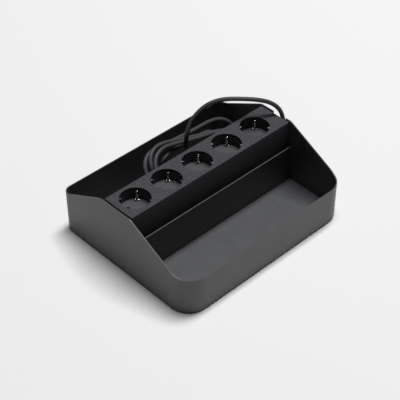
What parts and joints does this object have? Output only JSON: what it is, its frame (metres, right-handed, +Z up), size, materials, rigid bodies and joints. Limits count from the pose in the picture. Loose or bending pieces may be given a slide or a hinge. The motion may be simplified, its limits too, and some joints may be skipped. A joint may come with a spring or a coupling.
{
  "type": "magnetic extension cord",
  "caption": "Folded steel desk tray with a divider and a bar of earthed mains outlets that magnets hold on a shelf; its lead leaves through a slot in the side wall.",
  "frame": {"origin": "on the table, under the middle of the tray's outline", "axes": "+X along the socket bar towards the lead's exit, +Y from the low front bay to the rear bay, +Z up"},
  "size_m": [0.2956, 0.236, 0.1305],
  "materials": {
    "powder_coat": "fine matt powder coat, anthracite",
    "bar_plastic": "fine matt grain, anthracite",
    "socket_plastic": "glossy black",
    "nickel_plate": "nickel plated",
    "magnet_plate": "nickel plated",
    "brass": "bare stamped strip",
    "zinc_steel": "zinc plated",
    "gland_rubber": "matt black",
    "foot_rubber": "matt black",
    "cord_sheath": "smooth dark sheath",
    "plug_plastic": "fine matt black",
    "line_insulation": "brown",
    "neutral_insulation": "blue",
    "earth_insulation": "green and yellow"
  },
  "bodies": {
    "root": {"tray": "powder_coat", "divider_panel": "powder_coat", "socket_shelf": "powder_coat", "bar_cover": "bar_plastic", "bar_base": "bar_plastic", "earth_busbar": "brass", "line_busbar": "brass", "neutral_busbar": "brass", "housing_screws": "zinc_steel", "clamp_screws": "zinc_steel", "strain_relief": "gland_rubber", "cord_sheath_end": "cord_sheath", "cord_clamp": "bar_plastic", "line_wire": "line_insulation", "neutral_wire": "neutral_insulation", "earth_wire": "earth_insulation", "cord_coil": "cord_sheath", "cord_lead": "cord_sheath", "cord_tail": "cord_sheath", "plug_body": "plug_plastic", "plug_pins": "nickel_plate", "plug_earth_strips": "nickel_plate", "foot_1": "foot_rubber", "magnet_1": "magnet_plate", "foot_2": "foot_rubber", "magnet_2": "magnet_plate", "foot_3": "foot_rubber", "magnet_3": "magnet_plate", "foot_4": "foot_rubber", "magnet_4": "magnet_plate", "socket_well_1": "socket_plastic", "earth_clip_1": "nickel_plate", "socket_well_2": "socket_plastic", "earth_clip_2": "nickel_plate", "socket_well_3": "socket_plastic", "earth_clip_3": "nickel_plate", "socket_well_4": "socket_plastic", "earth_clip_4": "nickel_plate", "socket_well_5": "socket_plastic", "earth_clip_5": "nickel_plate"}
  },
  "joints": []
}
